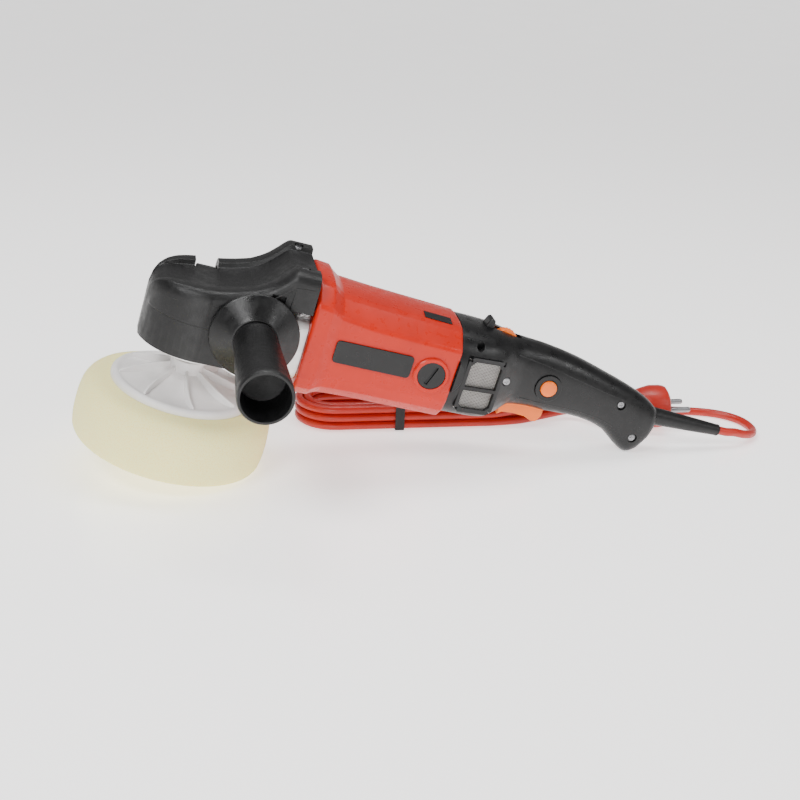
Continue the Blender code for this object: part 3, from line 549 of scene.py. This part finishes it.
def foam_pad():
    profile = [(0, PAD_TOP), (30, PAD_TOP), (57, PAD_TOP)]
    corners = [(57, PAD_TOP), (66, -74.3), (71.5, -78.2), (75.0, -85.5), (76.4, -97.0), (76.4, -110.0),
               (75.3, -118.0)]
    path = smooth_route([Vector((r, z, 0)) for r, z in corners], 1.2)
    profile += [(p.x, p.y) for p in path[1:]]
    profile += [(74.2, -119.9), (72.0, PAD_BOTTOM + 0.05), (40, PAD_BOTTOM), (0, PAD_BOTTOM)]
    mesh = turned_mesh("foam_pad_visual", profile, 220)
    for vert in mesh.vertices:
        radial = Vector((vert.co.x, vert.co.y, 0))
        if radial.length < 0.06 or vert.co.z < -0.1185:
            continue
        wave = noise.noise(vert.co * 45) * 0.35 + noise.noise(vert.co * 420) * 0.16
        vert.co += radial.normalized() * (min(wave, 0.1) * MM)
    settle(link("foam_pad_visual", mesh), "foam_pad")


HUB_R = 13.0
DISH_WIDTH = 34.0
DISH_STEPS = 24
WEB_COUNT = 8


def plate_height(radius):
    """Top of the plate's dish at that distance from the spindle."""
    t = min(1.0, max(0.0, (radius - HUB_R) / DISH_WIDTH))
    return -57.0 - 11.0 * math.sin(t * math.pi / 2)


def backing_plate():
    radii = [HUB_R + DISH_WIDTH * k / DISH_STEPS for k in range(DISH_STEPS + 1)]
    profile = [(7.1, -47.0), (12.2, -47.0), (12.9, -47.6), (HUB_R, -49.0)]
    profile += [(radius, plate_height(radius)) for radius in radii]
    profile += [(49.0, -68.0), (50.5, -67.2), (52.2, -67.1), (54.2, -68.1), (55.3, -69.6), (55.5, -71.0),
                (55.5, RIM_Z), (7.1, RIM_Z)]
    plate = link("backing_plate_visual", turned_mesh("backing_plate_visual", profile, 160, closed=True))
    settle(plate, "backing_plate")
    for index in range(WEB_COUNT):
        web = curved_web("plate_web_%d" % (index + 1), 2 * math.pi * index / WEB_COUNT)
        add_detail(web, "white_nylon", BODY_OF["backing_plate"])


def curved_web(name, start):
    """A thin wall that sweeps from the hub out to the rim and falls with the dish."""
    steps, thickness, sweep = 22, 2.2, math.radians(8)
    rings = []
    for k in range(steps + 1):
        t = k / steps
        radius = 12.4 + 37.6 * t
        angle = start + sweep * t * t
        top = -53.0 - 13.2 * t ** 1.15
        bottom = plate_height(radius) - 1.0
        centre = Vector((radius * math.cos(angle), radius * math.sin(angle), 0))
        across = Vector((-math.sin(angle), math.cos(angle), 0)) * (thickness / 2)
        corners = [(-1, bottom), (-0.85, top), (0.85, top), (1, bottom)]
        rings.append([centre + across * side + Vector((0, 0, z)) for side, z in corners])
    mesh = loft_mesh(name, rings)
    shade(mesh)
    return bevel(link(name, mesh), 0.5)


# ---------------------------------------------------------------- filter gauze
FILTER_AT = (222.5, 33.8, -5.5)
FILTER_SKEW = math.radians(9.7)


def filter_place(side, outward=0.0):
    """The frame of a filter, square to its slanted seat, some millimetres out from it."""
    away = Vector((math.sin(FILTER_SKEW), side * math.cos(FILTER_SKEW), 0)) * outward
    middle = Vector((FILTER_AT[0], side * FILTER_AT[1], FILTER_AT[2])) + away
    return TOOL @ Matrix.Translation(middle * MM) @ Matrix.Rotation(-side * FILTER_SKEW, 4, "Z")


def filter_gauze(node):
    """Crossed wires in place of the flat sheet behind a filter frame."""
    side = -1 if "left" in node else 1
    wide, tall, pitch = 15.5, 21.5, 1.25
    depth = side * -2.1
    curve = bpy.data.curves.new(node + "_wires", "CURVE")
    curve.dimensions = "3D"
    curve.bevel_depth = 0.26 * MM
    curve.bevel_resolution = 1

    def wire(along_x, offset, phase):
        span = wide if along_x else tall
        count = int(2 * span / (pitch / 2))
        spline = curve.splines.new("POLY")
        spline.points.add(count)
        for k, knot in enumerate(spline.points):
            s = -span + 2 * span * k / count
            bend = 0.22 * math.cos(math.pi * s / pitch + phase)
            x, z = (s, offset) if along_x else (offset, s)
            knot.co = (x * MM, (depth + bend) * MM, z * MM, 1)

    for index in range(int(2 * wide / pitch) + 1):
        wire(False, -wide + index * pitch, math.pi * index)
    for index in range(int(2 * tall / pitch) + 1):
        wire(True, -tall + index * pitch, math.pi * (index + 1))
    settle(link(node + "_wires", curve, filter_place(side)), node)


# ---------------------------------------------------------------- turned pieces
def turned_piece(node, profile, axis, at, sides=96, closed=False, round_width=0.0):
    mesh = turned_mesh(node + "_visual", profile, sides, closed)
    piece = settle(link(node + "_visual", mesh, along(axis, at)), node)
    if round_width:
        bevel(piece, round_width)
    return piece


BOSS = (37.0, 0, 0)


def side_handle():
    guard = [(4.3, 60.0), (17.5, 60.0), (18.5, 59.2), (20.0, 57.6), (32.4, 51.0), (33.6, 49.8), (33.6, 48.2),
             (32.8, 47.2), (26.0, 46.3), (4.3, 46.3)]
    turned_piece("handle_guard", guard, "-Y", BOSS, 128, True, 0.4)
    grip = [(0, 124.0), (16.3, 126.0), (17.0, 156.6), (17.6, 158.0), (19.2, 158.0), (20.0, 156.8),
            (20.0, 150.0)]
    for step in range(44):
        height = 149.0 - 2.0 * step
        swell = 16.7 + 2.9 * eased((height - 62.0) / 88.0)
        dip = 0.35 if step % 2 else 0.0
        grip.append((swell - dip, height))
    grip += [(16.0, 60.3), (4.3, 60.3), (4.3, 78.3), (0, 78.3)]
    turned_piece("side_handle", grip, "-Y", BOSS, 112)


def cord_boot():
    """Smooth tapered strain relief with a rolled tip."""
    profile = [(0, 453.0), (4.2, 453.0), (4.9, 452.5), (5.1, 451.6), (4.9, 450.6), (4.9, 449.6)]
    for step in range(1, 25):
        t = step / 24
        profile.append((4.9 + 2.7 * t ** 0.85, 449.6 - 60.0 * t))
    profile += [(7.6, 376.0), (0, 376.0)]
    return turned_piece("cord_boot", profile, "X", (0, 0, BOOT_TIP.z), 72)


FILTER_SCREW = (244.5, 0, 1.0)
HANDLE_SCREW_1 = (352.0, 0, -2.0)
HANDLE_SCREW_2 = (373.0, 0, -29.0)
RAIL_SCREW_X = 64.0
RAIL_SCREW_Y = 27.0
CROSS_TURN = 20


def cross_screw(node, radius, start, end, out, at):
    """A pan head with a cross recess cut into it."""
    head = [(0, end), (radius * 0.55, end), (radius * 0.86, end - 0.25), (radius, end - 0.8),
            (radius, start), (0, start)]
    piece = turned_piece(node, head, out, at, 48)
    cut_cross(piece, along(out, at), end, radius)


def cut_cross(piece, place, end, radius):
    size = (radius * 1.15, radius * 0.3, 1.1)
    for turn in (CROSS_TURN, CROSS_TURN + 90):
        bar = box_mesh([-side / 2 for side in size], [side / 2 for side in size])
        spin = Matrix.Rotation(math.radians(turn), 4, "Z")
        cut(piece, link("cutter", bar, place @ Matrix.Translation((0, 0, end * MM)) @ spin))
    shade(piece.data)


def screws():
    for label, out in (("left", "-Y"), ("right", "Y")):
        cross_screw("filter_screw_" + label, 3.2, 26.2, 28.4, out, FILTER_SCREW)
    cross_screw("handle_screw_1", 3.1, 14.1, 14.9, "-Y", HANDLE_SCREW_1)
    cross_screw("handle_screw_2", 3.1, 12.7, 13.4, "-Y", HANDLE_SCREW_2)
    for label, side in (("left", -1), ("right", 1)):
        head = [(0, 52.9), (2.9, 52.9), (3.4, 52.4), (3.4, 51.1), (0, 51.1)]
        at = (RAIL_SCREW_X, side * RAIL_SCREW_Y, 0)
        piece = turned_piece("rail_screw_" + label, head, "Z", at, 48)
        cut_cross(piece, along("Z", at), 52.9, 3.4)


# ---------------------------------------------------------------- lofted housings
# x, height of the rail top, depth of the channel between the rails
RAIL_LINE = [
    (-43.4, 6.0, 0.5), (-41.5, 12.0, 0.6), (-38.0, 16.5, 1.0), (-32.0, 20.0, 2.0), (-24.0, 22.0, 3.5),
    (-9.0, 23.5, 4.0), (6.0, 25.0, 4.0), (20.0, 28.0, 4.0), (31.0, 31.5, 4.0), (38.0, 35.5, 4.0),
    (44.0, 40.0, 4.0), (50.0, 46.0, 4.0), (55.5, 52.0, 4.0), (58.5, 54.0, 4.0),
]
RAIL_TOP = (54.0, 4.0)
NOSE_RADIUS = 44.0
COVER_REAR = 75.5
COVER_WALL = 4.6
COVER_STEP = -4.0


def cover_section(x, rail, channel, inset=0.0):
    wide = (math.sqrt(max((NOSE_RADIUS + 0.2) ** 2 - x * x, 6.0)) if x < 0 else NOSE_RADIUS) - inset
    skirt = wide if inset else wide - min(2.0, wide * 0.1)
    top = rail - inset
    shoulder = max(top - 9.0, COVER_STEP + 2.0)
    lean = min(1.0, max(0.0, (x - 20.0) / 36.0))
    rail_out = wide * (0.82 - 0.06 * lean)
    rail_in = wide * (0.6 - 0.04 * lean)
    bottom = -35.0 if inset else -33.0
    side = [(skirt, bottom), (skirt, COVER_STEP - 1.0), (wide, COVER_STEP)]
    for k in range(11):
        turn = math.pi / 2 * k / 10
        side.append((rail_out + (wide - rail_out) * math.cos(turn),
                     shoulder + (top - shoulder) * math.sin(turn)))
    side += [(rail_in + 1.0, top), (rail_in, top - 0.4), (rail_in * 0.95, top - channel + 0.4),
             (rail_in * 0.92, top - channel)]
    return [(x, y, z) for y, z in side] + [(x, -y, z) for y, z in reversed(side)]


def head_cover():
    rows = smooth_rows(RAIL_LINE, 1.3)
    rows = [row for row in rows if row[0] < 57.5] + [(x, *RAIL_TOP) for x in (58.5, 66.0, COVER_REAR)]
    piece = link("head_cover_visual", loft_mesh("head_cover_visual", [cover_section(*row) for row in rows]))
    inner = [row for row in rows[::4] if -38.4 < row[0] < 57.0]
    inner += [(x, *RAIL_TOP) for x in (58.5, COVER_REAR + 1)]
    hollow = loft_mesh("cutter", [cover_section(*row, inset=COVER_WALL) for row in inner])
    cut(piece, link("cutter", hollow))
    cut(piece, box_cutter((57.0, -60, -60), (COVER_REAR + 2, 60, 24.2)))
    cut(piece, round_cutter(14.3, -60, 60, "Y", BOSS))
    cut(piece, box_cutter((-10.3, 23.1, 3.7), (7.3, 60.0, 60.0)))
    cut(piece, box_cutter((42.5, -47.0, 27.0), (53.0, -41.0, 34.0)))
    for side in (-1, 1):
        cut(piece, round_cutter(3.9, 50.8, 60.0, "Z", (RAIL_SCREW_X, side * RAIL_SCREW_Y, 0)))
    shade(piece.data, 30)
    settle(piece, "head_cover")


# x, top, bottom, half width
HANDLE_ROWS = [
    (198.4, 35.0, -40.5, 39.0), (212.0, 35.0, -40.5, 38.0), (228.0, 34.5, -40.5, 35.5),
    (240.0, 33.0, -39.0, 31.0), (249.0, 31.5, -34.0, 25.0), (258.0, 31.0, -26.5, 20.5),
    (275.0, 30.0, -24.5, 19.0), (291.0, 28.0, -25.0, 18.5), (305.0, 25.5, -24.5, 18.0),
    (320.0, 22.0, -24.5, 17.5), (335.0, 18.0, -26.5, 17.0), (348.0, 14.5, -30.5, 16.5),
    (358.0, 11.5, -37.0, 16.0), (367.0, 8.5, -43.0, 15.5), (375.0, 5.5, -46.0, 15.0),
    (382.0, 2.0, -42.0, 14.0), (387.5, -1.5, -32.0, 12.5), (390.5, -4.5, -25.0, 9.0),
]
HANDLE_WALL = 3.2
TRIGGER_SLOT = ((252.0, -7.2, -60.0), (294.5, 7.2, -14.0))
DIAL_SLOT = ((228.8, -3.7, 16.0), (254.0, 3.7, 60.0))
GUARD_SLOT = ((220.5, -6.4, 29.5), (228.6, 6.4, 60.0))
SIDE_HOLE_X = 214.0
SIDE_HOLE_Z = 25.5


def handle_section(x, top, bottom, wide, inset=0.0, count=88):
    power = 2.7 if x < 238 else 2.4 + 0.3 * max(0.0, (250.0 - x) / 12.0)
    middle, half = (top + bottom) / 2, (top - bottom) / 2 - inset
    points = []
    for i in range(count):
        angle = 2 * math.pi * (i + 0.5) / count
        c, s = math.cos(angle), math.sin(angle)
        y = (wide - inset) * math.copysign(abs(c) ** (2 / power), c)
        points.append((x, y, middle + half * math.copysign(abs(s) ** (2 / power), s)))
    return points


def painted_shade_disc(out, label):
    """A dark disc inside the shell behind its round side hole, as painted shade: it makes the hole read dark
    like the shaded inside.
    """
    name = "painted_shade_disc_" + label
    disc = [(0, 22.4), (7.6, 22.4), (8.0, 22.0), (8.0, 21.0), (0, 21.0)]
    backing = link(name, turned_mesh(name, disc, 40), along(out, (SIDE_HOLE_X, 0, SIDE_HOLE_Z - 5.0)))
    shade(backing.data, 30)
    # Painted shade: this black disc stands for the shade inside the handle behind the hole
    add_detail(backing, "black_plastic", BODY_OF["handle_shell_" + label])


def handle_shells():
    rows = smooth_rows(HANDLE_ROWS, 2.6)
    inner = [(196.4,) + tuple(HANDLE_ROWS[0][1:])] + [row for row in rows[::2] if 199 < row[0] < 376]
    for side, label in ((-1, "left"), (1, "right")):
        name = "handle_shell_%s_visual" % label
        piece = link(name, loft_mesh(name, [handle_section(*row) for row in rows]))
        low, high = (-0.15, 80.0) if side < 0 else (-80.0, 0.15)
        cut(piece, box_cutter((190.0, low, -80.0), (400.0, high, 80.0)))
        hollow = [handle_section(*row, inset=HANDLE_WALL, count=32) for row in inner]
        cut(piece, link("cutter", loft_mesh("cutter", hollow)))
        for corners in (TRIGGER_SLOT, DIAL_SLOT, GUARD_SLOT):
            cut(piece, box_cutter(*corners))
        cut(piece, round_cutter(7.9, 370.0, 400.0, "X", (0, 0, BOOT_TIP.z)))
        out = "-Y" if side < 0 else "Y"
        cut(piece, round_cutter(3.7, 25.9, 60.0, out, FILTER_SCREW))
        cut(piece, round_cutter(3.3, 24.0, 60.0, out, (SIDE_HOLE_X, 0, SIDE_HOLE_Z)))
        if side < 0:
            cut(piece, round_cutter(11.5, 8.0, 60.0, out, (284.0, 0, 0)))
            cut(piece, round_cutter(4.2, 14.0, 60.0, out, HANDLE_SCREW_1))
            cut(piece, round_cutter(4.2, 12.6, 60.0, out, HANDLE_SCREW_2))
        window = box_mesh((-17.3, -7.0, -23.8), (17.3, 7.0, 23.8))
        cut(piece, link("cutter", window, filter_place(side, 4.6)))
        shade(piece.data, 32)
        settle(piece, "handle_shell_" + label)
        # A dark disc behind each side hole as painted shade
        painted_shade_disc(out, label)


# x, half width, top, bottom, height of the side crease
SHELL_ROWS = [
    (77.0, 43.5, 46.0, -44.5, 33.0), (79.0, 45.0, 47.5, -46.0, 34.5), (90.0, 45.0, 46.5, -46.0, 33.5),
    (94.5, 43.0, 42.5, -44.0, 31.0), (99.0, 41.7, 39.6, -42.9, 28.5), (125.0, 41.5, 37.6, -42.0, 25.0),
    (165.0, 41.3, 35.6, -42.0, 23.5), (196.5, 40.8, 34.2, -42.0, 22.5), (198.0, 40.0, 33.4, -41.2, 22.0),
]
BRUSH_AT = (178.8, 0, -2.4)
BRUSH_FACE = 43.4
BRUSH_BOSS_R = 14.4
CAP_HOLE_R = 11.25
SHELL_BORE = 34.0


def shell_section(x, wide, top, bottom, crease):
    side = [(wide * 0.4, bottom), (wide * 0.72, bottom + 2.5), (wide * 0.93, bottom + 11.0),
            (wide, bottom + 20.0), (wide, crease - 3.0), (wide * 0.965, crease),
            (wide * 0.64, top - 2.2), (wide * 0.5, top), (wide * 0.25, top + 1.2)]
    return [(x, y, z) for y, z in side] + [(x, -y, z) for y, z in reversed(side)]


def motor_shell():
    mesh = loft_mesh("motor_housing_visual", [shell_section(*row) for row in SHELL_ROWS])
    piece = link("motor_housing_visual", mesh)
    bevel(piece, 1.4, 4, 9.0)
    bpy.context.view_layer.objects.active = piece
    bpy.ops.object.modifier_apply(modifier="round")
    for out in ("-Y", "Y"):
        rim = 0.8
        drum = [(0, BRUSH_FACE), (BRUSH_BOSS_R - rim, BRUSH_FACE), (BRUSH_BOSS_R, BRUSH_FACE - rim),
                (BRUSH_BOSS_R, 30.0), (0, 30.0)]
        combine(piece, link("boss", turned_mesh("boss", drum, 64), along(out, BRUSH_AT)), "UNION")
    cut(piece, round_cutter(SHELL_BORE, 75.0, 200.0, "X", (0, 0, 0)))
    cut(piece, round_cutter(CAP_HOLE_R, -60.0, 60.0, "Y", BRUSH_AT))
    shade(piece.data, 24)
    settle(piece, "motor_housing")


def brush_crescents():
    """The rear housing's part of each round brush boss, past the end of the red shell."""
    radius, centre, front = 17.5, 187.0, 198.7
    reach = math.acos((front - centre) / radius)
    arc = [reach * (2 * k / 24 - 1) for k in range(25)]
    outline = [(centre + radius * math.cos(a), radius * math.sin(a)) for a in arc]
    for side, label in ((-1, "left"), (1, "right")):
        rings = [[(x, side * y, z) for x, z in outline] for y in (35.0, 41.6, 42.2)]
        rings[2] = [(front if x < front + 0.01 else x - 0.5, y, z * 0.96) for x, y, z in rings[2]]
        name = "brush_crescent_" + label
        piece = link(name, loft_mesh(name, rings))
        shade(piece.data, 30)
        add_detail(piece, "black_plastic", BODY_OF["handle_shell_" + label])


def filter_frames():
    """A plate with clipped corners, two windows, a bar and four small holes."""
    outline = [(17, 19.5), (13, 23.5), (-13, 23.5), (-17, 19.5), (-17, -19.5), (-13, -23.5), (13, -23.5),
               (17, -19.5)]
    wide, clip = 13.8, 3.4
    for side, label in ((-1, "left"), (1, "right")):
        place = filter_place(side)
        name = "filter_frame_%s_visual" % label
        piece = link(name, loft_mesh(name, [[(x, y, z) for x, z in outline] for y in (-1.5, 1.5)]), place)
        for near, far in ((-1.5, 20.0), (-4.5, -20.0)):
            clipped = far - math.copysign(clip, far)
            shape = [(-wide, near), (-wide, clipped), (-wide + clip, far), (wide - clip, far),
                     (wide, clipped), (wide, near)]
            window = loft_mesh("cutter", [[(x, y, z) for x, z in shape] for y in (-4, 4)])
            cut(piece, link("cutter", window, place))
        for x, z in ((-14.6, 20.6), (14.6, 20.6), (-14.6, -20.6), (14.6, -20.6)):
            hole = turned_mesh("cutter", [(0, 4), (1.0, 4), (1.0, -4), (0, -4)], 20)
            spot = place @ Matrix.Translation((x * MM, 0, z * MM)) @ Matrix.Rotation(math.pi / 2, 4, "X")
            cut(piece, link("cutter", hole, spot))
        shade(piece.data)
        bevel(piece, 0.45)
        settle(piece, "filter_frame_" + label)


# ---------------------------------------------------------------- moulded lines on the housings
def surface_reader(node):
    """Reads how far out a CAD node's side lies at a point (x, z) of the tool."""
    source = NODES[node]
    inverse = TOOL.inverted() @ source.matrix_world
    verts = [inverse @ v.co / MM for v in source.data.vertices]
    tree = BVHTree.FromPolygons(verts, [tuple(p.vertices) for p in source.data.polygons])

    def read(x, z, side):
        hit = tree.ray_cast(Vector((x, side * 90.0, z)), Vector((0, -side, 0)))[0]
        return None if hit is None else hit.y

    return read


BEAD_PROUD = 0.35


def moulded_line(name, node, side, outline, radius, slot):
    """A raised bead along a line (x, z) on a node's side, half sunk in it."""
    read = surface_reader(node)
    path = smooth_route([Vector((x, z, 0)) for x, z in outline], 1.5)
    points = []
    for p in path:
        y = read(p.x, p.y, side)
        if y is not None:
            points.append(Vector((p.x, y - side * radius * (1 - BEAD_PROUD), p.y)))
    return add_detail(tube(name, points, radius, 3), slot, BODY_OF[node])


# Lines (x, z) on the side of the head cover and of the grip
COVER_LINE = [(-30, 10), (-10, 13.0), (6, 14.5), (20, 17.5), (31, 21), (40, 27), (50, 35), (58, 42),
              (73, 43.5)]
GRIP_LINE_UPPER = [(251, 22), (262, 20), (280, 17), (300, 13), (320, 9), (340, 5), (356, 2)]
GRIP_LINE_LOWER = [(264, -14), (280, -15), (300, -15), (320, -15.5), (338, -18), (352, -22)]


def moulded_lines():
    for side, label in ((-1, "left"), (1, "right")):
        shell = "handle_shell_" + label
        moulded_line("cover_rail_edge_" + label, "head_cover", side, COVER_LINE, 0.7, "black_rubber")
        moulded_line("grip_line_upper_" + label, shell, side, GRIP_LINE_UPPER, 0.6, "black_plastic")
        moulded_line("grip_line_lower_" + label, shell, side, GRIP_LINE_LOWER, 0.6, "black_plastic")


# ---------------------------------------------------------------- the scene
FLOOR_HALF = 14.0


def make_floor():
    bm = bmesh.new()
    bmesh.ops.create_grid(bm, x_segments=2, y_segments=2, size=FLOOR_HALF)
    mesh = mesh_from("floor", bm)
    mesh.materials.append(floor_material())
    link("floor", mesh, WORLD)


make_camera()
mains_lead()
make_floor()
make_studio()
foam_pad()
backing_plate()
filter_gauze("filter_mesh_left")
filter_gauze("filter_mesh_right")
side_handle()
screws()
head_cover()
handle_shells()
filter_frames()
moulded_lines()
motor_shell()
brush_crescents()

for node_name in sorted(set(NODES) - MADE):
    refined(node_name)
